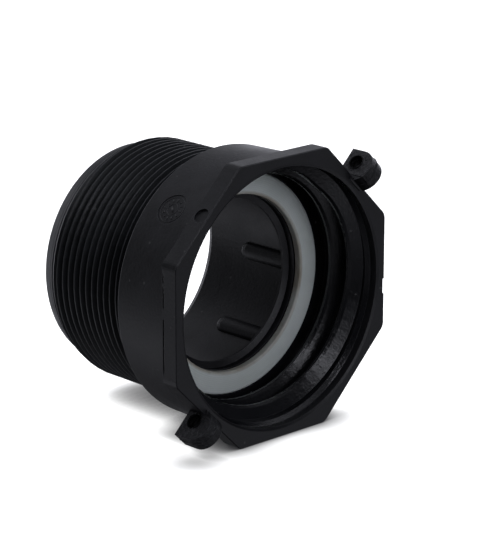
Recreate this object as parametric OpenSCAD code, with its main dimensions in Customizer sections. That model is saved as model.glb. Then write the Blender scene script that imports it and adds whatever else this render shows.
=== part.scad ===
/* [Octagon flange] */
// How far the flats stand out of the collar
flat_proud = 0.55; // [0:0.05:3]
// Thickness of the flange along the pipe
flange_t = 4.8; // [4.5:0.1:8]
// Radius of the eight rounded corners
corner_r = 2.5; // [1:0.1:5]
// Bevel round the front and back edges of the flange
flange_bevel = 0.2; // [0.1:0.05:0.7]

/* [Collar] */
// Distance from the mouth to the back of the collar
collar_end = 21.2; // [21:0.1:30]
// Wall of the collar round the plain entry of the mouth
collar_wall = 2; // [1.8:0.05:6]
// How far the collar narrows in radius towards its back
collar_taper = 0.45; // [0:0.05:1]
// Rounding of the collar's back edge
collar_edge = 0.5; // [0.2:0.05:1]

/* [Mouth with the coarse tank thread] */
// Width of the bevel round the mouth
mouth_flare = 0.6; // [0.2:0.05:1]
// Depth of the bevel round the mouth
mouth_bevel = 0.3; // [0.2:0.05:1]
// How far the plain entry is cut back behind the bottom of the thread's grooves
entry_relief = 0.8; // [0.1:0.05:1]
// Depth from the mouth to the end of the plain entry
entry_depth = 2.2; // [1.8:0.1:3]
// Depth over which the entry narrows to the bottom of the grooves
entry_slope = 1.1; // [0.5:0.1:1.5]
// Diameter at the bottom of the coarse thread's grooves
coarse_root_d = 60.6; // [59:0.1:66]
// Height of the coarse thread's ridge
coarse_depth = 2.9; // [1.5:0.1:3.2]
// Pitch of the coarse thread
coarse_pitch = 6; // [4:0.1:8]
// Width of the ridge at its crest
coarse_crest_w = 0.9; // [0.4:0.1:1.6]
// Axial width of the flank that faces the mouth
coarse_lead_w = 1.85; // [0.5:0.05:2.2]
// Height of the chamfer between that flank and the crest
coarse_chamfer = 0.5; // [0.1:0.05:1]
// Axial width of the flank that faces the seal
coarse_load_w = 0.35; // [0.1:0.05:0.8]
// Depth from the mouth to the ridge's front flank, on the +X side
coarse_start = 3.9; // [3.6:0.1:6]
// Depth of the threaded socket
socket_depth = 16.6; // [15:0.1:18]

/* [Seal] */
// Gap all round the seal ring as it passes the coarse ridge
seal_pass = 0.55; // [0.4:0.05:2]
// Width of the seal ring from its hole to its rim
seal_w = 5.45; // [4:0.05:8]
// Thickness of the seal ring
seal_t = 2; // [1.5:0.1:2.6]
// Rounding of the seal ring's edges
seal_edge = 0.4; // [0.1:0.05:0.6]
// Clearance round the seal in its seat
seal_fit = 0.15; // [0.05:0.05:0.4]
// How far the seal's face stands out of its seat
seal_proud = 0.3; // [0:0.05:1]

/* [Lip and bore] */
// How far the lip reaches inwards past the hole in the seal
lip_show = 0.2; // [0:0.05:1]
// Straight depth of the lip before its bevel
lip_step = 1.7; // [0.5:0.1:2.5]
// Width of the bevel down to the opening
lip_bevel_w = 1.4; // [0.5:0.1:3]
// Depth of the bevel down to the opening
lip_bevel = 0.6; // [0.4:0.1:1.6]
// Straight depth of the opening itself
lip_land = 0.6; // [0.4:0.1:4]
// Wall of the pipe between the roots of its thread and the bore
pipe_wall = 3.45; // [2.6:0.05:5]
// Width of the flare at the pipe end
flare_w = 0.7; // [0.2:0.05:1]
// Length of the flare at the pipe end
flare_len = 1.5; // [0.5:0.1:3]

/* [Ribs in the bore] */
// Number of ribs round the bore
rib_count = 8; // [4:1:12]
// Width of each rib
rib_w = 4.4; // [2:0.1:5]
// Height of each rib above the wall of the bore
rib_h = 1.6; // [0.5:0.1:2.2]
// Distance from the mouth to the ribs' round ends
rib_end = 40; // [32:0.5:45]

/* [Pipe thread] */
// Major diameter of the fine thread
fine_major_d = 59.6; // [59:0.1:64]
// Depth of the fine thread
fine_depth = 1.35; // [1:0.01:1.6]
// Pitch of the fine thread
fine_pitch = 2.1; // [1.8:0.001:3]
// Share of the pitch that is flat at a crest, and at a root
fine_flat = 0.16; // [0.1:0.01:0.2]
// How far the fine thread starts inside the collar
fine_inset = 2.23; // [2.1:0.01:4]
// Full length of the adapter
total_len = 52.9; // [50:0.1:80]
// How far the plain lead lies below the thread's crests
lead_drop = 1.3; // [0.9:0.05:1.35]
// How far the lead narrows in radius towards the pipe end
lead_taper = 1; // [0.3:0.05:1.4]
// Length of the plain lead
lead_len = 3.4; // [2.6:0.1:6]
// Length over which the crests run down to the lead
crest_fade = 2.8; // [1:0.1:5]

/* [Lugs for the seal wire] */
// Height of a lug above its flat
lug_height = 6.85; // [6.6:0.05:10]
// Width of a lug along its facet
lug_w = 4.6; // [3:0.1:7]
// Radius of a lug's round front
lug_nose_r = 4.1; // [4:0.1:4.8]
// Distance from the mouth to a lug's square back
lug_back = 4.5; // [4.2:0.1:5]
// Distance from a lug's back to the centre of its round front
lug_flat = 4.1; // [3.6:0.1:5]
// Diameter of the wire hole
lug_hole_d = 3.9; // [2:0.1:4.2]
// Depth of the upper wire hole's centre below the top of its lug
lug_hole_drop = 3.3; // [3:0.1:3.6]
// Depth of the lower wire hole's centre below the top of its lug
lug_hole_sunk = 4.6; // [3:0.1:4.6]
// Distance of the wire hole's centre from the lug's back
lug_hole_in = 3.2; // [3:0.1:4]

/* [Moulding marks] */
// Diameter of the round recess on the collar
mark_d = 8; // [5:0.1:9]
// Depth of the recess
mark_depth = 0.25; // [0.1:0.05:0.4]
// Distance from the mouth to the centre of the recess
mark_at = 12.6; // [11:0.1:14]
// Diameter of the dimples at the flange's front edge
dimple_d = 3.8; // [3:0.1:6]
// Depth of the dimples
dimple_depth = 0.6; // [0.2:0.05:0.8]

/* [Hidden] */
$fn = 96;

// Directions round the axis, in degrees from +X towards +Z
mark_angle = 135;
rib_angle = -3;
// Each lug: direction of its facet, depth of its wire hole
lugs = [[45, lug_hole_drop], [225, lug_hole_sunk]];
// Each dimple: direction of its facet, offset along the facet, distance from the mouth
dimples = [[135, 0, 2.2], [0, -3.9, 0.4]];

// How far a cut runs past the surface that it opens
over = 1;
// How far ribs and ridges are rooted in the wall that carries them
root = 0.4;
// Points on a rounded edge, lines round a rib, and lines round a full turn of each thread
arc_steps = 4;
rib_steps = 24;
fine_steps = 60;
coarse_steps = 72;
// Radial thickness of the sleeve that carries the fine thread, and the slope at its ends
sleeve_wall = 1.6;
sleeve_end = 0.2;
// Slope and limit with which the thread's roots dip under the plain lead
dip_slope = 0.6;
dip_limit = 0.6;
// Gap between the coarse ridge and the ends of its socket, and the angle over which it rises
ridge_gap = 0.2;
ridge_rise = 30;

coarse_root_r = coarse_root_d / 2;
entry_r = coarse_root_r + entry_relief;
mouth_r = entry_r + mouth_flare;
collar_r = entry_r + collar_wall;
collar_back_r = collar_r - collar_taper;
apothem = collar_r + flat_proud;
lug_reach = apothem + lug_height;
seal_r = coarse_root_r - coarse_depth - seal_pass;
seal_hole_r = seal_r - seal_w;
seat_r = seal_r + seal_fit;
seat_depth = socket_depth - seal_proud + seal_t;
lip_bevel_at = seat_depth + lip_step;
lip_land_at = lip_bevel_at + lip_bevel;
lip_back = lip_land_at + lip_land;
lip_mouth_r = seal_hole_r - lip_show;
lip_r = lip_mouth_r - lip_bevel_w;
coarse_base_w = coarse_lead_w + coarse_crest_w + coarse_load_w;
fine_crest_r = fine_major_d / 2;
fine_root_r = fine_crest_r - fine_depth;
bore_r = fine_root_r - pipe_wall;
lead_at = total_len - lead_len;
lead_r = fine_crest_r - lead_drop;
core_r = fine_root_r - root / 2;
sleeve_r = core_r - sleeve_wall;

// Stands a shape drawn along +Z on the axis of the adapter, mouth forwards
module along_axis() rotate([-90, 0, 0]) children();

// Turns a shape drawn on the +X side to another direction round the axis
module at_angle(a) rotate([0, -a, 0]) children();

// Point at radius r, angle a and distance s from the mouth, before along_axis
function on_helix(r, a, s) = [r * cos(a), r * sin(a), s];

// Corner points of an arc round a centre
function arc(centre, r, from, to, n) = [
    for (i = [0:n]) let (a = from + (to - from) * i / n)
        centre + r * [cos(a), sin(a)]
];

// Octagon with flats on the axes and rounded corners
function octagon(half, r) = [
    for (a = [0:45:315])
        each arc((half - r) / cos(45 / 2) * [cos(a + 45 / 2), sin(a + 45 / 2)],
                 r, a, a + 45, arc_steps)
];

// Solid through a stack of equal outlines, each a list of points at its own height
module stack(outlines, heights) {
    n = len(outlines[0]);
    m = len(outlines);
    polyhedron(
        points = [
            for (j = [0:m - 1]) for (p = outlines[j]) [p[0], p[1], heights[j]]
        ],
        faces = [
            [for (i = [0:n - 1]) i],
            for (j = [0:m - 2]) for (i = [0:n - 1])
                [j * n + i, (j + 1) * n + i, (j + 1) * n + (i + 1) % n, j * n + (i + 1) % n],
            [for (i = [n - 1:-1:0]) (m - 1) * n + i]
        ]
    );
}

module flange() {
    outer = octagon(apothem, corner_r);
    inner = octagon(apothem - flange_bevel, corner_r - flange_bevel / 2);
    stack([inner, outer, outer, inner],
          [0, flange_bevel, flange_t - flange_bevel, flange_t]);
}

module collar() {
    rotate_extrude()
        polygon(concat(
            [[0, flange_bevel + over], [collar_r, flange_bevel + over], [collar_r, flange_t]],
            arc([collar_back_r - collar_edge, collar_end - collar_edge],
                collar_edge, 0, 90, arc_steps),
            [[0, collar_end]]
        ));
}

// Radius of the fine thread's root, which dips under the plain lead
function root_at(s) = fine_root_r - min(dip_limit, dip_slope * max(0, s - lead_at));

// Height of the fine thread's crest above its root, running out towards the pipe end
function crest_at(s) = fine_depth * min(1, max(0, (lead_at - s) / crest_fade));

// Threaded sleeve: four lines wind round it for each turn, at the two edges of
// the root and the two edges of the crest
module fine_thread() {
    n = fine_steps;
    from = collar_end - fine_inset;
    turns = floor((lead_at - from) / fine_pitch);
    rows = 4 * turns;
    flank = (1 - 2 * fine_flat) / 2;
    step_at = [0, flank, flank + fine_flat, 1 - fine_flat];
    lift = [0, 1, 1, 0];
    function line(row, i) =
        let (s = from + fine_pitch * (floor(row / 4) + step_at[row % 4] + i / n))
        on_helix(root_at(s) + lift[row % 4] * crest_at(s), 360 * i / n, s);
    function ring(r, s) = [for (i = [0:n - 1]) on_helix(r, 360 * i / n, s)];
    // Number of the point on a line, where a full turn leads on to the next turn's line
    function at(row, i) =
        i < n ? row * n + i : (row + 4 <= rows ? (row + 4) * n : tail + row + 3 - rows);
    tail = (rows + 1) * n;
    front = tail + 4;
    back = front + n;
    front_in = back + n;
    back_in = front_in + n;
    last = from + fine_pitch * (turns + 1);
    function next(i) = (i + 1) % n;
    polyhedron(
        points = concat(
            [for (row = [0:rows]) for (i = [0:n - 1]) line(row, i)],
            [for (k = [1:4]) line(rows + k, 0)],
            ring(core_r - sleeve_wall / 2, from - sleeve_end),
            ring(core_r - sleeve_wall / 2, last + sleeve_end),
            ring(sleeve_r, from - sleeve_end),
            ring(sleeve_r, last + sleeve_end)
        ),
        faces = [
            for (row = [0:rows - 1]) for (i = [0:n - 1])
                each [[at(row, i), at(row + 1, i), at(row, i + 1)],
                      [at(row, i + 1), at(row + 1, i), at(row + 1, i + 1)]],
            for (i = [0:n - 1])
                each [[front + i, at(0, i), at(0, i + 1)],
                      [front + i, at(0, i + 1), front + next(i)]],
            for (k = [0:3]) [front, at(k + 1, 0), at(k, 0)],
            for (i = [0:n - 1])
                each [[at(rows, i), back + i, back + next(i)],
                      [at(rows, i), back + next(i), at(rows, i + 1)]],
            for (k = [0:3])
                [back, k == 0 ? at(rows, 0) : tail + k - 1, tail + k],
            for (i = [0:n - 1])
                each [[front_in + i, front + i, front + next(i), front_in + next(i)],
                      [back_in + i, back_in + next(i), back + next(i), back + i],
                      [front_in + i, front_in + next(i), back_in + next(i), back_in + i]]
        ]
    );
}

module pipe() {
    translate([0, 0, collar_end - over])
        cylinder(r = core_r, h = lead_at - collar_end + 2 * over);
    translate([0, 0, lead_at])
        cylinder(r1 = lead_r, r2 = lead_r - lead_taper, h = lead_len);
    fine_thread();
}

// Socket, seal seat, opening in the lip and bore, as one turned cut
module passage() {
    rotate_extrude()
        polygon([
            [0, -over],
            [mouth_r + over * mouth_flare / mouth_bevel, -over],
            [entry_r, mouth_bevel],
            [entry_r, entry_depth],
            [coarse_root_r, entry_depth + entry_slope],
            [coarse_root_r, socket_depth],
            [seat_r, socket_depth],
            [seat_r, seat_depth],
            [lip_mouth_r, seat_depth],
            [lip_mouth_r, lip_bevel_at],
            [lip_r, lip_land_at],
            [lip_r, lip_back],
            [bore_r, lip_back],
            [bore_r, total_len - flare_len],
            [bore_r + flare_w, total_len],
            [bore_r + flare_w, total_len + over],
            [0, total_len + over]
        ]);
}

// Ridge of the coarse thread, which rises from nothing at both of its ends
module coarse_thread() {
    n = coarse_steps;
    m = 5;
    base_r = entry_r + root;
    chamfer_w = coarse_chamfer * coarse_lead_w / coarse_depth;
    sunk = base_r - coarse_root_r;
    base_lead = sunk * coarse_lead_w / coarse_depth;
    base_load = sunk * coarse_load_w / coarse_depth;
    first = ceil((entry_depth + ridge_gap - coarse_start) / coarse_pitch * n);
    last = floor((socket_depth - ridge_gap - coarse_base_w - coarse_start) / coarse_pitch * n);
    count = last - first;
    rise = n * ridge_rise / 360;
    function section(k) =
        let (
            a = 360 * (first + k) / n,
            s = coarse_start + coarse_pitch * (first + k) / n,
            up = min(rise, k + 1 / 2, count - k + 1 / 2) / rise,
            crest_r = coarse_root_r - coarse_depth * up,
            cut = coarse_chamfer * up
        )
        [
            on_helix(base_r, a, s - base_lead),
            on_helix(crest_r + cut, a, s + (coarse_lead_w - chamfer_w) * up),
            on_helix(crest_r, a, s + coarse_lead_w * up + cut / 2),
            on_helix(crest_r, a, s + coarse_base_w - coarse_load_w * up),
            on_helix(base_r, a, s + coarse_base_w + base_load)
        ];
    polyhedron(
        points = [for (k = [0:count]) each section(k)],
        faces = [
            [for (j = [0:m - 1]) j],
            for (k = [0:count - 1]) for (j = [0:m - 1]) let (p = m * k + j, q = m * k + (j + 1) % m)
                each [[p, p + m, q], [q, p + m, q + m]],
            [for (j = [m - 1:-1:0]) m * count + j]
        ]
    );
}

// Half-round ribs on the wall of the bore, from the lip to a round end
module ribs() {
    length = rib_end - rib_w / 2 - lip_back + root;
    for (k = [0:rib_count - 1])
        at_angle(rib_angle + k * 360 / rib_count)
            translate([bore_r, lip_back - root, 0])
                scale([2 * rib_h / rib_w, 1, 1])
                    rotate([-90, 0, 0])
                        rotate_extrude($fn = rib_steps)
                            polygon(concat([[0, 0], [rib_w / 2, 0]],
                                           arc([0, length], rib_w / 2, 0, 90, arc_steps)));
}

// One eye on the +X side: square at the back, round at the front
module lug() {
    centre = [lug_reach - lug_nose_r, lug_back - lug_flat];
    translate([0, 0, -lug_w / 2])
        linear_extrude(lug_w)
            union() {
                translate(centre) circle(r = lug_nose_r);
                translate([centre[0] - lug_nose_r, centre[1]])
                    square([2 * lug_nose_r, lug_flat]);
            }
}

module lug_hole(drop) {
    translate([lug_reach - drop, lug_back - lug_hole_in, -lug_w])
        cylinder(d = lug_hole_d, h = 2 * lug_w);
}

// Shallow round sink into a flat of the octagon
module dimple(offset, from_mouth) {
    translate([apothem - dimple_depth, from_mouth, offset])
        rotate([0, 90, 0])
            cylinder(d = dimple_d, h = dimple_depth + over);
}

// Round recess with a floor that follows the collar
module mark_recess() {
    taper = collar_taper * (mark_at - flange_t) / (collar_end - flange_t);
    intersection() {
        translate([collar_r / 2, mark_at, 0])
            rotate([0, 90, 0])
                cylinder(d = mark_d, h = collar_r);
        along_axis()
            translate([0, 0, mark_at - mark_d])
                difference() {
                    cylinder(r = collar_r + over, h = 2 * mark_d);
                    translate([0, 0, -over])
                        cylinder(r = collar_r - taper - mark_depth, h = 2 * mark_d + 2 * over);
                }
    }
}

module adapter_body() {
    color([0.07, 0.07, 0.085]) {
        difference() {
            union() {
                along_axis() {
                    flange();
                    collar();
                    pipe();
                }
                for (l = lugs) at_angle(l[0]) lug();
            }
            along_axis() passage();
            for (l = lugs) at_angle(l[0]) lug_hole(l[1]);
            for (d = dimples) at_angle(d[0]) dimple(d[1], d[2]);
            at_angle(mark_angle) mark_recess();
        }
        along_axis() coarse_thread();
        ribs();
    }
}

module seal_ring() {
    in = seal_hole_r + seal_edge;
    out = seal_r - seal_edge;
    low = seal_edge;
    high = seal_t - seal_edge;
    color([0.82, 0.84, 0.85])
        along_axis()
            translate([0, 0, seat_depth - seal_t])
                rotate_extrude()
                    polygon(concat(
                        arc([out, low], seal_edge, -90, 0, arc_steps),
                        arc([out, high], seal_edge, 0, 90, arc_steps),
                        arc([in, high], seal_edge, 90, 180, arc_steps),
                        arc([in, low], seal_edge, 180, 270, arc_steps)
                    ));
}

adapter_body();
seal_ring();
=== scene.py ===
import math

import bpy
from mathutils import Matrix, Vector


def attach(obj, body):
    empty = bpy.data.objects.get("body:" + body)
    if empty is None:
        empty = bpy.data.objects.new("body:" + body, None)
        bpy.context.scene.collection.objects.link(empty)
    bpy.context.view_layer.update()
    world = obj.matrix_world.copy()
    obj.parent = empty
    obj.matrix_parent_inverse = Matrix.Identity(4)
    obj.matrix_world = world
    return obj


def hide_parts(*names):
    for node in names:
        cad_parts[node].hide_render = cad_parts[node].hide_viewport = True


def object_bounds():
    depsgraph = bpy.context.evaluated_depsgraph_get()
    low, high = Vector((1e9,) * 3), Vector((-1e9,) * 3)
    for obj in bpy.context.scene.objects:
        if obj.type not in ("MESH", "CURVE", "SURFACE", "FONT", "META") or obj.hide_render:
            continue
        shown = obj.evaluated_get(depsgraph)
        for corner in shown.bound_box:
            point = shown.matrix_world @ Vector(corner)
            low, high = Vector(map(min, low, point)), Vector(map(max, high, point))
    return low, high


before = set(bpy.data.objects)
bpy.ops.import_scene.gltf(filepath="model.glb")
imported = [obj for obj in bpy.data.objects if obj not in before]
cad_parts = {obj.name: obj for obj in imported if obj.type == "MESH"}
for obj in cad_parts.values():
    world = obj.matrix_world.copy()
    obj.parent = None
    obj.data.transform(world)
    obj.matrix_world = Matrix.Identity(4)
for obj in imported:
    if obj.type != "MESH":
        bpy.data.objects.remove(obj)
cadLow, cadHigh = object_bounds()
scene = bpy.context.scene
print("frame loaded:", ", ".join(sorted(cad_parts)))

white = (1.0, 1.0, 1.0, 1.0)
diagonal = math.sqrt(0.5)
fullTurn = 2 * math.pi

# kinds of group sockets
number = "NodeSocketFloat"
vector = "NodeSocketVector"
shape = "NodeSocketGeometry"
finish = "NodeSocketMaterial"


# a node with its settings, its input values and its incoming links in one call
def addNode(tree, kind, inputs=None, **settings):
    node = tree.nodes.new(kind)
    for name, value in settings.items():
        setattr(node, name, value)
    for name, value in (inputs or {}).items():
        if isinstance(value, bpy.types.NodeSocket):
            tree.links.new(value, node.inputs[name])
        else:
            node.inputs[name].default_value = value
    return node


def doMath(tree, operation, *values, clamp=False):
    node = addNode(tree, "ShaderNodeMath", dict(enumerate(values)),
                   operation=operation, use_clamp=clamp)
    return node.outputs[0]


def multiplyAll(tree, first, *others):
    product = first
    for value in others:
        product = doMath(tree, "MULTIPLY", product, value)
    return product


def doVector(tree, operation, *values):
    node = addNode(tree, "ShaderNodeVectorMath", dict(enumerate(values)), operation=operation)
    return node.outputs["Value" if operation in ("LENGTH", "DOT_PRODUCT") else "Vector"]


def separate(tree, place):
    return addNode(tree, "ShaderNodeSeparateXYZ", {0: place}).outputs


def combine(tree, x=0.0, y=0.0, z=0.0):
    return addNode(tree, "ShaderNodeCombineXYZ", {"X": x, "Y": y, "Z": z}).outputs[0]


# 0 below low, 1 above high, and smooth between them
def fadeIn(tree, value, low, high):
    node = addNode(tree, "ShaderNodeMapRange",
                   {"Value": value, "From Min": low, "From Max": high},
                   interpolation_type="SMOOTHSTEP")
    return node.outputs["Result"]


# 1 below low, 0 above high, and smooth between them
def fadeOut(tree, value, low, high):
    return doMath(tree, "SUBTRACT", 1.0, fadeIn(tree, value, low, high))


def blendColors(tree, factor, first, second, mode="MIX"):
    node = addNode(tree, "ShaderNodeMix", {0: factor, 6: first, 7: second},
                   data_type="RGBA", blend_type=mode)
    return node.outputs[2]


# output 0 is one value, output 1 three of them
def addNoise(tree, place, scale, detail, roughness=0.5, distortion=0.0, output=0):
    node = addNode(tree, "ShaderNodeTexNoise",
                   {"Vector": place, "Scale": scale, "Detail": detail,
                    "Roughness": roughness, "Distortion": distortion})
    return node.outputs[output]


# camera at the photo's angle, the photo's long side is 36 mm of sensor
cameraSettings = {
    "place": (-0.4146, -0.4224, 0.1805),
    "forward": (0.6598, 0.6957, -0.2843),
    "lens": 173.8,
    "sensor": 36.0,
}


def makeCamera(s):
    data = bpy.data.cameras.new("photoCamera")
    data.lens = s["lens"]
    data.sensor_width = s["sensor"]
    camera = bpy.data.objects.new("photoCamera", data)
    camera.location = s["place"]
    camera.rotation_euler = Vector(s["forward"]).to_track_quat("-Z", "Y").to_euler()
    scene.collection.objects.link(camera)
    scene.camera = camera


makeCamera(cameraSettings)

# the stage: a pale floor under the lower flat, and soft glows all round that the camera doesn't see
floorSettings = {
    "size": 6.0,
    "color": (0.9, 0.9, 0.9, 1.0),
    "roughness": 0.9,
    "contactShadowColor": (0.02, 0.02, 0.022, 1.0),   # painted contact shadow, close under the object
    "contactReach": 0.0075,
    "contactFade": 2.5,
    "contactSamples": 24,
    "sunLevel": 4.0,          # strength of the sun that lights the floor alone, from above
}
glowSettings = {
    "behind": 1.2,            # what the camera sees past the floor
    "base": 0.0,              # the even light from every side
    "tint": (0.955, 0.965, 1.06, 1.0),
    "glows": {                # soft lights far away: where they stand, how narrow and how strong
        "nearHigh": {"towards": (-0.33, -0.82, 0.47), "sharpness": 70.0, "level": 1.10},
        "ridgeLamp": {"towards": (-0.05, -0.90, 0.43), "sharpness": 260.0, "level": 3.7},
        "rightHigh": {"towards": (0.68, 0.25, 0.69), "sharpness": 18.0, "level": 2.40},
        "farRight": {"towards": (0.88, 0.46, -0.09), "sharpness": 18.0, "level": 2.12},
        "overhead": {"towards": (-0.24, 0.22, 0.94), "sharpness": 18.0, "level": 1.70},
        "farLeftLow": {"towards": (-0.70, 0.36, -0.61), "sharpness": 18.0, "level": 1.82},
        "highLamp": {"towards": (-0.26, -0.60, 0.76), "sharpness": 220.0, "level": 5.0},
        "far": {"towards": (0.17, 0.96, -0.20), "sharpness": 18.0, "level": 1.17},
        "overheadRight": {"towards": (0.19, 0.00, 0.98), "sharpness": 18.0, "level": 0.88},
        "near": {"towards": (0.03, -0.98, 0.17), "sharpness": 70.0, "level": 1.50},
        "nearRight": {"towards": (0.22, -0.97, 0.13), "sharpness": 18.0, "level": 0.67},
        "farHigh": {"towards": (-0.04, 0.96, 0.28), "sharpness": 18.0, "level": 0.52},
        "nearLow": {"towards": (0.26, -0.71, -0.65), "sharpness": 18.0, "level": 0.51},
        "nearRightLow": {"towards": (0.71, -0.54, -0.46), "sharpness": 18.0, "level": 0.33},
        "nearLeftLow": {"towards": (-0.45, -0.71, -0.54), "sharpness": 18.0, "level": 0.16},
        "nearLeft": {"towards": (-0.77, -0.59, -0.24), "sharpness": 18.0, "level": 0.12},
        "farLeft": {"towards": (-0.39, 0.92, -0.02), "sharpness": 18.0, "level": 0.26},
    },
}


def makeFloor(s):
    half = s["size"] / 2
    mesh = bpy.data.meshes.new("floor")
    corners = [(-half, -half), (half, -half), (half, half), (-half, half)]
    mesh.from_pydata([(x, y, cadLow[2]) for x, y in corners], [], [(0, 1, 2, 3)])
    floor = bpy.data.objects.new("floor", mesh)
    scene.collection.objects.link(floor)
    material = bpy.data.materials.new("paleFloor")
    material.use_nodes = True
    tree = material.node_tree
    shader = tree.nodes["Principled BSDF"]
    free = addNode(tree, "ShaderNodeAmbientOcclusion", {"Distance": s["contactReach"]},
                   samples=s["contactSamples"])
    free = doMath(tree, "POWER", free.outputs["AO"], s["contactFade"])
    color = blendColors(tree, free, s["contactShadowColor"], s["color"])
    tree.links.new(color, shader.inputs["Base Color"])
    shader.inputs["Roughness"].default_value = s["roughness"]
    shader.inputs["Specular IOR Level"].default_value = 0.0
    mesh.materials.append(material)
    floor.visible_diffuse = False    # the glow from below stands in for what the floor reflects
    floor.visible_glossy = False

    data = bpy.data.lights.new("floorSun", "SUN")
    data.energy = s["sunLevel"]
    data.use_shadow = False          # the contact color makes the shadow
    sun = bpy.data.objects.new("floorSun", data)
    scene.collection.objects.link(sun)
    floorOnly = bpy.data.collections.new("floorOnly")
    floorOnly.objects.link(floor)
    sun.light_linking.receiver_collection = floorOnly


def makeSurroundings(s):
    world = bpy.data.worlds.new("surroundings")
    scene.world = world
    world.use_nodes = True
    tree = world.node_tree
    tree.nodes.clear()
    seen = addNode(tree, "ShaderNodeTexCoord").outputs["Generated"]
    seen = doVector(tree, "NORMALIZE", seen)
    total = s["base"]
    for glow in s["glows"].values():
        towards = tuple(Vector(glow["towards"]).normalized())
        off = doMath(tree, "SUBTRACT", doVector(tree, "DOT_PRODUCT", seen, towards), 1.0)
        lobe = doMath(tree, "EXPONENT", doMath(tree, "MULTIPLY", off, glow["sharpness"]))
        total = doMath(tree, "MULTIPLY_ADD", lobe, glow["level"], total)
    path = addNode(tree, "ShaderNodeLightPath").outputs["Is Camera Ray"]
    level = addNode(tree, "ShaderNodeMix", {0: path, 2: total, 3: s["behind"]}, data_type="FLOAT")
    color = blendColors(tree, path, s["tint"], white)
    light = addNode(tree, "ShaderNodeBackground", {"Color": color, "Strength": level.outputs[0]})
    addNode(tree, "ShaderNodeOutputWorld", {"Surface": light.outputs[0]})


makeFloor(floorSettings)
makeSurroundings(glowSettings)
scene.view_settings.view_transform = "Standard"
print("stage ready")


# a node group: an input is given by its start value, or by its kind where it has none
def openGroup(name, kind, inputs, outputs):
    tree = bpy.data.node_groups.new(name, kind)
    kinds = {float: number, int: "NodeSocketInt"}
    for socketName, value in inputs.items():
        socketKind = kinds.get(type(value), value)
        socket = tree.interface.new_socket(socketName, in_out="INPUT", socket_type=socketKind)
        if type(value) in kinds:
            socket.default_value = value
    for socketName, socketKind in outputs.items():
        tree.interface.new_socket(socketName, in_out="OUTPUT", socket_type=socketKind)
    given = tree.nodes.new("NodeGroupInput").outputs
    result = tree.nodes.new("NodeGroupOutput").inputs
    return tree, given, result


# the skin of a moulding: fine tool grain, small pits and the slow ripple of shrinkage
skinSettings = {
    "grain": (4.0, 0.6),         # detail and roughness
    "pitReach": 0.35,            # in parts of a cell
    "rippleDetail": 2.0,
    "cloudScale": 0.55,          # times the ripple's
    "cloud": (5.0, 0.62, 0.4),   # detail, roughness and distortion
    "cloudRange": (0.3, 0.7),
}


def makeMouldedSkin(s):
    tree, given, result = openGroup(
        "mouldedSkin", "ShaderNodeTree",
        {"Vector": vector, "Grain Scale": 1500.0, "Grain Depth": 0.00001, "Pit Scale": 900.0,
         "Pit Depth": 0.00001, "Ripple Scale": 120.0, "Ripple Depth": 0.00004},
        {"Height": number, "Cloud": number})
    place = given["Vector"]
    grain = addNoise(tree, place, given["Grain Scale"], *s["grain"])
    pits = addNode(tree, "ShaderNodeTexVoronoi", {"Vector": place, "Scale": given["Pit Scale"]})
    bowls = fadeIn(tree, pits.outputs["Distance"], 0.0, s["pitReach"])
    ripple = addNoise(tree, place, given["Ripple Scale"], s["rippleDetail"])
    cloudScale = doMath(tree, "MULTIPLY", given["Ripple Scale"], s["cloudScale"])
    cloud = addNoise(tree, place, cloudScale, *s["cloud"])
    height = doMath(tree, "MULTIPLY", grain, given["Grain Depth"])
    height = doMath(tree, "MULTIPLY_ADD", bowls, given["Pit Depth"], height)
    height = doMath(tree, "MULTIPLY_ADD", ripple, given["Ripple Depth"], height)
    tree.links.new(height, result["Height"])
    tree.links.new(fadeIn(tree, cloud, *s["cloudRange"]), result["Cloud"])
    return tree


# pale edges, partly rubbed by handling and partly a painted edge highlight: where a rounded normal
# leaves the true one, broken up
rubAndSheenSettings = {
    "samples": 6,
    "bend": (0.01, 0.16),
    "breakupDetail": 3.0,
    "breakupRange": (0.35, 0.65),
}


def makeRubbedEdgesAndSheen(s):
    tree, given, result = openGroup(
        "rubbedEdgesAndSheen", "ShaderNodeTree",
        {"Vector": vector, "Width": 0.0003, "Breakup Scale": 500.0, "Evenness": 0.5},
        {"Mask": number})
    rounded = addNode(tree, "ShaderNodeBevel", {"Radius": given["Width"]}, samples=s["samples"])
    true = addNode(tree, "ShaderNodeNewGeometry").outputs["Normal"]
    alike = doVector(tree, "DOT_PRODUCT", rounded.outputs[0], true)
    bent = fadeIn(tree, doMath(tree, "SUBTRACT", 1.0, alike), *s["bend"])
    breakup = addNoise(tree, given["Vector"], given["Breakup Scale"], s["breakupDetail"])
    broken = doMath(tree, "ADD", fadeIn(tree, breakup, *s["breakupRange"]), given["Evenness"],
                    clamp=True)
    tree.links.new(doMath(tree, "MULTIPLY", bent, broken), result["Mask"])
    return tree


# loose specks of dust and swarf, one in each cell of a fine cell pattern, most left out
speckSettings = {
    "core": 0.5,                 # how much of a speck's size is full
}


def makeLooseSpecks(s):
    tree, given, result = openGroup(
        "looseSpecks", "ShaderNodeTree",
        {"Vector": vector, "Speck Scale": 700.0, "Share": 0.08, "Size": 0.22},
        {"Mask": number})
    cells = addNode(tree, "ShaderNodeTexVoronoi",
                    {"Vector": given["Vector"], "Scale": given["Speck Scale"]})
    pick = addNode(tree, "ShaderNodeSeparateColor", {0: cells.outputs["Color"]}).outputs[0]
    chosen = doMath(tree, "LESS_THAN", pick, given["Share"])
    core = doMath(tree, "MULTIPLY", given["Size"], s["core"])
    spot = fadeOut(tree, cells.outputs["Distance"], core, given["Size"])
    tree.links.new(doMath(tree, "MULTIPLY", chosen, spot), result["Mask"])
    return tree


mouldedSkin = makeMouldedSkin(skinSettings)
rubbedEdgesAndSheen = makeRubbedEdgesAndSheen(rubAndSheenSettings)
looseSpecks = makeLooseSpecks(speckSettings)


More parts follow.
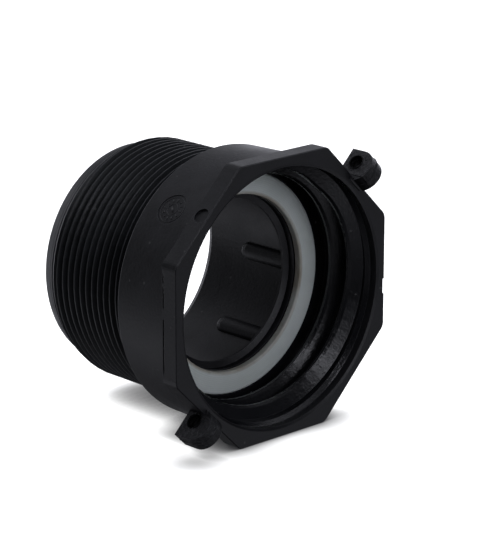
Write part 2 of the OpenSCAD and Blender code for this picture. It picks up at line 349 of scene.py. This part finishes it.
# what both plastics start from: the place on the part and what the three groups put out
def openPlastic(name, s):
    material = bpy.data.materials.new(name)
    material.use_nodes = True
    tree = material.node_tree
    place = addNode(tree, "ShaderNodeTexCoord").outputs["Object"]
    used = []
    for group, key in ((mouldedSkin, "skin"), (rubbedEdgesAndSheen, "edges"), (looseSpecks, "specks")):
        node = addNode(tree, "ShaderNodeGroup", dict(s[key], Vector=place), node_tree=group)
        used.append(node.outputs)
    skin, edges, specks = used
    return material, tree, place, skin, edges["Mask"], specks["Mask"]


def closePlastic(tree, color, roughness, height):
    shader = tree.nodes["Principled BSDF"]
    bump = addNode(tree, "ShaderNodeBump", {"Height": height, "Distance": 1.0, "Strength": 1.0})
    tree.links.new(color, shader.inputs["Base Color"])
    tree.links.new(roughness, shader.inputs["Roughness"])
    tree.links.new(bump.outputs["Normal"], shader.inputs["Normal"])
    return shader


# how far a point is from the pipe's axis
def fromAxis(tree, x, z):
    squares = [doMath(tree, "MULTIPLY", value, value) for value in (x, z)]
    return doMath(tree, "SQRT", doMath(tree, "ADD", *squares))


# black moulded polypropylene of the body; a pair of lengths is where a fade starts and ends
bodyPlasticSettings = {
    "color": (0.0082, 0.0086, 0.0105, 1.0),
    "cloudDark": (0.62, 0.62, 0.64, 1.0),
    "cloudPale": (1.4, 1.4, 1.38, 1.0),
    "roughness": 0.42,
    "roughnessSpread": 0.16,
    "skin": {"Grain Scale": 1300.0, "Grain Depth": 0.000055, "Pit Scale": 900.0,
             "Pit Depth": 0.000012, "Ripple Scale": 130.0, "Ripple Depth": 0.00006},

    "edges": {"Width": 0.00032, "Breakup Scale": 420.0, "Evenness": 0.45},
    "edgeWearAndSheenColor": (0.050, 0.051, 0.056, 1.0),
    "backRimAlong": (0.02062, 0.0209),          # the collar's back rim gets a painted highlight in the edge colour
    "backRimRadius": (0.0318, 0.0320),
    "backRimHighlight": 0.8,
    "specks": {"Speck Scale": 560.0, "Share": 0.07, "Size": 0.24},
    "speckColor": (0.09, 0.09, 0.09, 1.0),
    "speckCover": 0.7,
    "speckRoughness": 0.2,                      # what a speck adds

    "threadColor": (0.0055, 0.0075, 0.0095, 1.0),   # the pipe end is a cooler black
    "threadAlong": (0.0210, 0.0213),
    "threadRadius": (0.0258, 0.0268),
    "crestHighlightColor": (0.011, 0.014, 0.017, 1.0),       # painted highlight: the pipe thread's crests are paler
    "crestRadius": (0.02966, 0.02976),
    "crestClouds": (0.6, 0.4),                      # how much the clouds count, and what is sure

    "socketRadius": (0.0268, 0.0271, 0.0309, 0.0312),   # the coarse thread, in and out again
    "socketAlong": (0.0010, 0.0016, 0.0180, 0.0190),
    "socketRoughness": 0.16,                    # its ridges are polished by the tool
    "toolMarks": (1900.0, 2.0),                 # scale and detail
    "toolMarkDepth": 0.00005,

    "paintedShadeColor": (0.0006, 0.0006, 0.0006, 1.0),
    "gapPlace": 0.0041,                         # the broken gap behind the left flat, along y
    "gapWidth": (0.00009, 0.00030),
    "gapReach": (0.0105, 0.0125),
    "gapDepth": 0.00020,
    "gapFlat": -0.0325,                         # the left flat lies beyond this x
    "gapBreaks": (260.0, 2.0),                  # scale and detail
    "gapBreakRange": (0.38, 0.46),
    "eyeUpper": 0.0372,                         # the lugs' eyes get painted shade inside
    "eyeLower": 0.0359,
    "eyeAlong": 0.0013,
    "eyeRadius": (0.00197, 0.00217),
    "eyePaintedShade": 0.75,

    "lugStart": (0.0337, 0.0339),               # beyond it the lugs stand out, and their skin is scuffed
    "scuffs": (1000.0, 4.0, 0.65, 0.6),         # scale, detail, roughness and distortion
    "scuffDepth": 0.00050,
    "scuffPale": (0.52, 0.64),
    "scuffColor": (0.045, 0.046, 0.050, 1.0),
}


def makeBodyPlastic(s):
    material, tree, place, skin, edges, specks = openPlastic("bodyPlastic", s)
    x, y, z = separate(tree, place)
    radius = fromAxis(tree, x, z)
    onThread = multiplyAll(tree, fadeIn(tree, y, *s["threadAlong"]),
                           fadeIn(tree, radius, *s["threadRadius"]))
    color = blendColors(tree, onThread, s["color"], s["threadColor"])
    # painted highlight on the thread crests
    onCrestHighlight = multiplyAll(tree, onThread, fadeIn(tree, radius, *s["crestRadius"]),
                          doMath(tree, "MULTIPLY_ADD", skin["Cloud"], *s["crestClouds"]))
    color = blendColors(tree, onCrestHighlight, color, s["crestHighlightColor"])
    cloud = blendColors(tree, skin["Cloud"], s["cloudDark"], s["cloudPale"])
    color = blendColors(tree, 1.0, color, cloud, "MULTIPLY")
    # painted highlight along the collar's back rim, added to the edge mask
    onBackRimHighlight = multiplyAll(tree, fadeIn(tree, y, *s["backRimAlong"]),
                            fadeIn(tree, radius, *s["backRimRadius"]))
    edges = doMath(tree, "MULTIPLY_ADD", onBackRimHighlight, s["backRimHighlight"], edges, clamp=True)
    speckCover = doMath(tree, "MULTIPLY", specks, s["speckCover"])
    color = blendColors(tree, speckCover, color, s["speckColor"])
    # pale edges: rubbed wear and a painted edge highlight
    color = blendColors(tree, edges, color, s["edgeWearAndSheenColor"])

    # the gap: a narrow groove behind the left flat, broken along z, bumped in and darkened with painted
    # shade
    offGap = doMath(tree, "ABSOLUTE", doMath(tree, "SUBTRACT", y, s["gapPlace"]))
    breaks = addNoise(tree, place, *s["gapBreaks"])
    gap = multiplyAll(tree, fadeOut(tree, offGap, *s["gapWidth"]),
                      doMath(tree, "LESS_THAN", x, s["gapFlat"]),
                      fadeOut(tree, doMath(tree, "ABSOLUTE", z), *s["gapReach"]),
                      fadeIn(tree, breaks, *s["gapBreakRange"]))

    # the eyes: both axes run along (-1, 0, 1), so a point's place across them is x + z and y
    slant = doMath(tree, "MULTIPLY", doMath(tree, "ADD", x, z), diagonal)
    isUpper = doMath(tree, "GREATER_THAN", slant, 0.0)
    centre = doMath(tree, "MULTIPLY_ADD", isUpper, s["eyeUpper"] - s["eyeLower"], s["eyeLower"])
    out = doMath(tree, "ABSOLUTE", slant)
    across = combine(tree, doMath(tree, "SUBTRACT", out, centre),
                     doMath(tree, "SUBTRACT", y, s["eyeAlong"]))
    inEye = fadeOut(tree, doVector(tree, "LENGTH", across), *s["eyeRadius"])

    # the scuffed skin of the lugs
    scuff = multiplyAll(tree, fadeIn(tree, out, *s["lugStart"]), addNoise(tree, place, *s["scuffs"]))
    color = blendColors(tree, fadeIn(tree, scuff, *s["scuffPale"]), color, s["scuffColor"])
    # painted shade: the gap and the inside of the eyes are darkened in colour and lose their gloss
    paintedShade = doMath(tree, "MAXIMUM", gap, doMath(tree, "MULTIPLY", inEye, s["eyePaintedShade"]))
    color = blendColors(tree, paintedShade, color, s["paintedShadeColor"])

    inSocket = multiplyAll(tree, fadeIn(tree, radius, *s["socketRadius"][:2]),
                           fadeOut(tree, radius, *s["socketRadius"][2:]),
                           fadeIn(tree, y, *s["socketAlong"][:2]),
                           fadeOut(tree, y, *s["socketAlong"][2:]))
    rough = doMath(tree, "MULTIPLY_ADD", skin["Cloud"], s["roughnessSpread"],
                   s["roughness"] - s["roughnessSpread"] / 2)
    rough = doMath(tree, "MULTIPLY_ADD", inSocket, s["socketRoughness"] - s["roughness"], rough)
    rough = doMath(tree, "MULTIPLY_ADD", specks, s["speckRoughness"], rough, clamp=True)

    height = doMath(tree, "MULTIPLY_ADD", gap, -s["gapDepth"], skin["Height"])
    marks = multiplyAll(tree, addNoise(tree, place, *s["toolMarks"]), inSocket, s["toolMarkDepth"])
    height = doMath(tree, "ADD", height, marks)
    height = doMath(tree, "MULTIPLY_ADD", scuff, s["scuffDepth"], height)
    shader = closePlastic(tree, color, rough, height)
    tree.links.new(paintedShade, shader.inputs["Metallic"])    # no gloss in the painted shade of the gap and the eyes
    return material


# pale, slightly see-through polyethylene of the seal
sealPlasticSettings = {
    "color": (0.88, 0.95, 0.91, 1.0),
    "shadeColor": (0.77, 0.84, 0.80, 1.0),
    "ringPitch": 0.00046,
    "ringShade": 0.22,
    "cloudShade": 0.8,
    "innerEdgeShadeColor": (0.40, 0.35, 0.27, 1.0),     # brownish painted shade on the inner edge
    "innerEdgeShadeRadius": (0.0217, 0.0224),
    "innerEdgeShadeClouds": (0.5, 0.4),                 # how much the clouds count, and what is sure
    "roughness": 0.40,
    "roughnessSpread": 0.1,
    "waxiness": 0.25,
    "waxDepth": 0.0012,
    "waxReach": (1.0, 1.0, 0.9),
    "skin": {"Grain Scale": 2600.0, "Grain Depth": 0.000004, "Pit Scale": 700.0,
             "Pit Depth": 0.000003, "Ripple Scale": 160.0, "Ripple Depth": 0.00003},
    "edges": {"Width": 0.0004, "Breakup Scale": 300.0, "Evenness": 0.3},
    "edgeWearAndSheenColor": (0.88, 0.92, 0.91, 1.0),
    "edgeCover": 0.35,
    "specks": {"Speck Scale": 420.0, "Share": 0.06, "Size": 0.16},
    "speckColor": (0.3, 0.3, 0.3, 1.0),
    "speckCover": 0.5,
}


def makeSealPlastic(s):
    material, tree, place, skin, edges, specks = openPlastic("sealPlastic", s)
    x, _, z = separate(tree, place)
    radius = fromAxis(tree, x, z)
    rings = doMath(tree, "SINE", doMath(tree, "MULTIPLY", radius, fullTurn / s["ringPitch"]))
    clouds = doMath(tree, "MULTIPLY", skin["Cloud"], s["cloudShade"])
    shade = doMath(tree, "MULTIPLY_ADD", rings, s["ringShade"], clouds, clamp=True)
    color = blendColors(tree, shade, s["color"], s["shadeColor"])
    # brownish painted shade along the seal's inner edge
    innerEdgeShade = multiplyAll(tree, fadeOut(tree, radius, *s["innerEdgeShadeRadius"]),
                        doMath(tree, "MULTIPLY_ADD", skin["Cloud"], *s["innerEdgeShadeClouds"]))
    color = blendColors(tree, innerEdgeShade, color, s["innerEdgeShadeColor"])
    # pale rims: rubbed wear and a painted edge highlight
    edgeCover = doMath(tree, "MULTIPLY", edges, s["edgeCover"])
    color = blendColors(tree, edgeCover, color, s["edgeWearAndSheenColor"])
    speckCover = doMath(tree, "MULTIPLY", specks, s["speckCover"])
    color = blendColors(tree, speckCover, color, s["speckColor"])
    rough = doMath(tree, "MULTIPLY_ADD", skin["Cloud"], s["roughnessSpread"],
                   s["roughness"] - s["roughnessSpread"] / 2)
    shader = closePlastic(tree, color, rough, skin["Height"])
    shader.inputs["Subsurface Weight"].default_value = s["waxiness"]
    shader.inputs["Subsurface Scale"].default_value = s["waxDepth"]
    shader.inputs["Subsurface Radius"].default_value = s["waxReach"]
    return material


bodyPlastic = makeBodyPlastic(bodyPlasticSettings)
sealPlastic = makeSealPlastic(sealPlasticSettings)
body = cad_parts["adapter_body"]
body.data.materials.clear()
body.data.materials.append(bodyPlastic)
print("materials ready")


# a geometry tree that takes a start mesh, the settings of its piece and a material
def openShape(name, settings):
    return openGroup(name, "GeometryNodeTree", {"Geometry": shape, **settings, "Material": finish},
                     {"Geometry": shape})


def closeShape(tree, given, result, grown):
    real = addNode(tree, "GeometryNodeRealizeInstances", {"Geometry": grown})
    dressed = addNode(tree, "GeometryNodeSetMaterial",
                      {"Geometry": real.outputs[0], "Material": given["Material"]})
    tree.links.new(dressed.outputs[0], result["Geometry"])
    return tree


def addCircle(tree, steps, radius):
    return addNode(tree, "GeometryNodeCurvePrimitiveCircle",
                   {"Resolution": steps, "Radius": radius}, mode="RADIUS").outputs[0]


def addSweep(tree, curve, section, size=1.0, caps=False):
    return addNode(tree, "GeometryNodeCurveToMesh",
                   {"Curve": curve, "Profile Curve": section, "Scale": size,
                    "Fill Caps": caps}).outputs[0]


def addBlock(tree, x, y, z):
    return addNode(tree, "GeometryNodeMeshCube", {"Size": combine(tree, x, y, z)}).outputs[0]


# runs a geometry tree on a start mesh and keeps the result as a plain mesh
def growPiece(name, tree, settings, material, start=None):
    grower = bpy.data.objects.new(name + "Start", start or bpy.data.meshes.new(name + "Start"))
    scene.collection.objects.link(grower)
    modifier = grower.modifiers.new(name, "NODES")
    modifier.node_group = tree
    values = dict(settings, Material=material)
    for socket in tree.interface.items_tree:
        if socket.in_out == "INPUT" and socket.name in values:
            modifier[socket.identifier] = values[socket.name]
    bpy.context.view_layer.update()
    ready = grower.evaluated_get(bpy.context.evaluated_depsgraph_get())
    grown = bpy.data.meshes.new_from_object(ready)
    grower.modifiers.clear()
    bpy.data.objects.remove(grower)
    grown.name = name
    grown.materials.clear()
    grown.materials.append(material)
    grown.polygons.foreach_set("use_smooth", [True] * len(grown.polygons))
    piece = bpy.data.objects.new(name, grown)
    scene.collection.objects.link(piece)
    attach(piece, "root")
    print(name, "has", len(grown.polygons), "faces")
    return piece


# the seal: a flat ring with rounded rims and fine turned grooves in its front
sealSettings = {
    "grow": {
        "Middle Radius": 0.024125,
        "Width": 0.00545,
        "Thickness": 0.002,
        "Rim Radius": 0.00045,
        "Centre": 0.0173,
        "Groove Pitch": 0.00068,
        "Groove Depth": 0.00003,
        "Wave": 0.00005,
    },
    "stepsAround": 300,
    "rimSteps": 6,
    "outlineStep": 0.00011,
    "frontNormal": -0.85,        # what faces the mouth more than this is the front
    "waves": (55.0, 1.0),        # scale and detail
}


def makeSealTree(s):
    tree, given, result = openShape("turnedSeal", s["grow"])
    path = addCircle(tree, s["stepsAround"], given["Middle Radius"])
    outline = addNode(tree, "GeometryNodeCurvePrimitiveQuadrilateral",
                      {"Width": given["Width"], "Height": given["Thickness"]}, mode="RECTANGLE")
    rims = addNode(tree, "GeometryNodeFilletCurve",
                   {"Curve": outline.outputs[0], "Count": s["rimSteps"],
                    "Radius": given["Rim Radius"]}, mode="POLY")
    fine = addNode(tree, "GeometryNodeResampleCurve",
                   {"Curve": rims.outputs[0], "Length": s["outlineStep"]}, mode="LENGTH")
    turned = addNode(tree, "GeometryNodeTransform",
                     {"Geometry": addSweep(tree, path, fine.outputs[0]),
                      "Translation": combine(tree, y=given["Centre"]),
                      "Rotation": (-math.pi / 2, 0.0, 0.0)})
    place = addNode(tree, "GeometryNodeInputPosition").outputs[0]
    facing = separate(tree, addNode(tree, "GeometryNodeInputNormal").outputs[0])
    front = doMath(tree, "LESS_THAN", facing["Y"], s["frontNormal"])
    radius = doVector(tree, "LENGTH", doVector(tree, "MULTIPLY", place, (1.0, 0.0, 1.0)))
    turns = doMath(tree, "DIVIDE", radius, given["Groove Pitch"])
    groove = doMath(tree, "COSINE", doMath(tree, "MULTIPLY", turns, fullTurn))
    groove = doMath(tree, "MULTIPLY", doMath(tree, "MULTIPLY_ADD", groove, 0.5, 0.5),
                    given["Groove Depth"])
    wave = doMath(tree, "SUBTRACT", addNoise(tree, place, *s["waves"]), 0.5)
    push = doMath(tree, "MULTIPLY_ADD", wave, given["Wave"], groove)
    cut = addNode(tree, "GeometryNodeSetPosition",
                  {"Geometry": turned.outputs[0], "Selection": front,
                   "Offset": combine(tree, y=push)})
    return closeShape(tree, given, result, cut.outputs[0])


seal = growPiece("sealPiece", makeSealTree(sealSettings), sealSettings["grow"], sealPlastic)
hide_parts("seal_ring")

# the round mark in the collar's recess: two rings, a scale of ticks and a pointer, no figures
markSettings = {
    "grow": {
        "Ring Radius": 0.00335,
        "Inner Radius": 0.00145,
        "Wire": 0.00018,
        "Tick Count": 12,
        "Tick Length": 0.0008,
        "Tick Width": 0.00022,
        "Pointer Length": 0.0019,
        "Seat Radius": 0.032636,
        "Angle": math.radians(135.0),
        "Along": 0.0126,
    },
    "wireSides": 8,
    "ringSteps": 64,
    "pointerWidth": 1.6,         # times a tick's
    "pointerLean": math.radians(40.0),
}


def makeMarkTree(s):
    tree, given, result = openShape("roundMark", s["grow"])
    join = addNode(tree, "GeometryNodeJoinGeometry")
    wire = addCircle(tree, s["wireSides"], doMath(tree, "MULTIPLY", given["Wire"], 0.5))
    for radius in (given["Ring Radius"], given["Inner Radius"]):
        ring = addSweep(tree, addCircle(tree, s["ringSteps"], radius), wire)
        tree.links.new(ring, join.inputs[0])
    middle = doMath(tree, "MULTIPLY",
                    doMath(tree, "ADD", given["Ring Radius"], given["Inner Radius"]), 0.5)
    spots = addNode(tree, "GeometryNodeMeshCircle",
                    {"Vertices": given["Tick Count"], "Radius": middle})
    turn = doMath(tree, "MULTIPLY", addNode(tree, "GeometryNodeInputIndex").outputs[0],
                  doMath(tree, "DIVIDE", fullTurn, given["Tick Count"]))
    ticks = addNode(tree, "GeometryNodeInstanceOnPoints",
                    {"Points": spots.outputs[0], "Rotation": combine(tree, z=turn),
                     "Instance": addBlock(tree, given["Tick Length"], given["Tick Width"],
                                          given["Wire"])})
    tree.links.new(ticks.outputs[0], join.inputs[0])
    pointerWidth = doMath(tree, "MULTIPLY", given["Tick Width"], s["pointerWidth"])
    pointer = addNode(tree, "GeometryNodeTransform",
                      {"Geometry": addBlock(tree, given["Pointer Length"], pointerWidth,
                                            given["Wire"]),
                       "Rotation": (0.0, 0.0, s["pointerLean"])})
    tree.links.new(pointer.outputs[0], join.inputs[0])
    real = addNode(tree, "GeometryNodeRealizeInstances", {"Geometry": join.outputs[0]})

    # wrapped round the pipe axis: x goes round, y along, z outwards
    x, y, z = separate(tree, addNode(tree, "GeometryNodeInputPosition").outputs[0])
    around = doMath(tree, "SUBTRACT", given["Angle"],
                    doMath(tree, "DIVIDE", x, given["Seat Radius"]))
    out = doMath(tree, "ADD", given["Seat Radius"], z)
    wrapped = combine(tree, doMath(tree, "MULTIPLY", out, doMath(tree, "COSINE", around)),
                      doMath(tree, "ADD", y, given["Along"]),
                      doMath(tree, "MULTIPLY", out, doMath(tree, "SINE", around)))
    bent = addNode(tree, "GeometryNodeSetPosition",
                   {"Geometry": real.outputs[0], "Position": wrapped})
    return closeShape(tree, given, result, bent.outputs[0])


mark = growPiece("roundMark", makeMarkTree(markSettings), markSettings["grow"], bodyPlastic)

# ridges of skin along paths: the flash that the mould's parting line leaves over each lug's
# nose, and the torn skin round the lugs' eyes
ridgeSettings = {
    "start": {"Step": 0.0002, "Thickness": 0.0001, "Unevenness": 0.5, "Wander": 0.0002},
    "drifts": (330.0, 2.0),      # scale and detail
    "driftSide": (1.0, 0.0, -1.0),   # to the side of a lug, not off its surface
    "lumps": (700.0, 3.0),
    "lumpGain": 3.0,
    "thinnest": 0.15,            # in parts of the thickness
    "sides": 6,
}
flashSettings = {
    "lugs": {"upper": 45.0, "lower": 225.0},    # degrees round the pipe axis from +x to +z
    "noseCentre": (0.0364, 0.0004),             # from the axis, and along it
    "noseRadius": 0.0041,
    "noseArc": range(-150, 1, 6),               # degrees
    "backEnd": 0.0044,
    "grow": {"Step": 0.0002, "Thickness": 0.00016, "Unevenness": 0.8, "Wander": 0.00035},
}
tornSettings = {
    "eyes": {"upper": (45.0, 0.0372), "lower": (225.0, 0.0359)},   # angle, and out from the axis
    "along": 0.0013,
    "rings": [(0.00188, 0.00226), (0.00162, 0.0016), (0.0015, 0.0008)],   # radius, and height
    "ringArc": range(0, 361, 12),               # degrees
    "grow": {"Step": 0.00016, "Thickness": 0.0002, "Unevenness": 1.1, "Wander": 0.0005},
}


def makePaths(name, lines):
    corners, edges = [], []
    for line in lines:
        first = len(corners)
        corners += line
        edges += [(i, i + 1) for i in range(first, len(corners) - 1)]
    mesh = bpy.data.meshes.new(name)
    mesh.from_pydata(corners, edges, [])
    return mesh


# points at an angle in degrees on a circle round a centre
def onCircle(centre, radius, degrees):
    turn = math.radians(degrees)
    return centre[0] + radius * math.cos(turn), centre[1] + radius * math.sin(turn)


# a path across the nose of each lug, in the plane through the pipe axis
def flashLines(s):
    profile = [onCircle(s["noseCentre"], s["noseRadius"], degrees) for degrees in s["noseArc"]]
    profile.append((profile[-1][0], s["backEnd"]))
    lines = []
    for degrees in s["lugs"].values():
        right, up = onCircle((0.0, 0.0), 1.0, degrees)
        lines.append([(out * right, along, out * up) for out, along in profile])
    return lines


# rings round the eyes, each at its height over the lug's middle
def tornLines(s):
    lines = []
    for turned, out in s["eyes"].values():
        right, up = onCircle((0.0, 0.0), 1.0, turned)
        for radius, height in s["rings"]:
            ring = [onCircle((out, s["along"]), radius, degrees) for degrees in s["ringArc"]]
            lines.append([(r * right - height * diagonal, y, r * up + height * diagonal)
                          for r, y in ring])
    return lines


def makeRidgeTree(s):
    tree, given, result = openShape("mouldFlash", s["start"])
    path = addNode(tree, "GeometryNodeMeshToCurve", {"Mesh": given["Geometry"]})
    fine = addNode(tree, "GeometryNodeResampleCurve",
                   {"Curve": path.outputs[0], "Length": given["Step"]}, mode="LENGTH")
    place = addNode(tree, "GeometryNodeInputPosition").outputs[0]
    drift = addNoise(tree, place, *s["drifts"], output=1)
    drift = doVector(tree, "SUBTRACT", drift, (0.5, 0.5, 0.5))
    side = addNode(tree, "ShaderNodeVectorMath",
                   {0: doVector(tree, "MULTIPLY", drift, s["driftSide"]),
                    "Scale": given["Wander"]}, operation="SCALE")
    moved = addNode(tree, "GeometryNodeSetPosition",
                    {"Geometry": fine.outputs[0], "Offset": side.outputs[0]})
    lump = doMath(tree, "SUBTRACT", addNoise(tree, place, *s["lumps"]), 0.5)
    gain = doMath(tree, "MULTIPLY", given["Unevenness"], s["lumpGain"])
    size = doMath(tree, "MAXIMUM", doMath(tree, "MULTIPLY_ADD", lump, gain, 1.0), s["thinnest"])
    section = addCircle(tree, s["sides"], given["Thickness"])
    ridge = addSweep(tree, moved.outputs[0], section, size, caps=True)
    return closeShape(tree, given, result, ridge)


ridgeTree = makeRidgeTree(ridgeSettings)
flash = growPiece("mouldFlash", ridgeTree, flashSettings["grow"], bodyPlastic,
                  start=makePaths("flashPaths", flashLines(flashSettings)))
torn = growPiece("tornEyes", ridgeTree, tornSettings["grow"], bodyPlastic,
                 start=makePaths("tornPaths", tornLines(tornSettings)))
print("pieces ready")
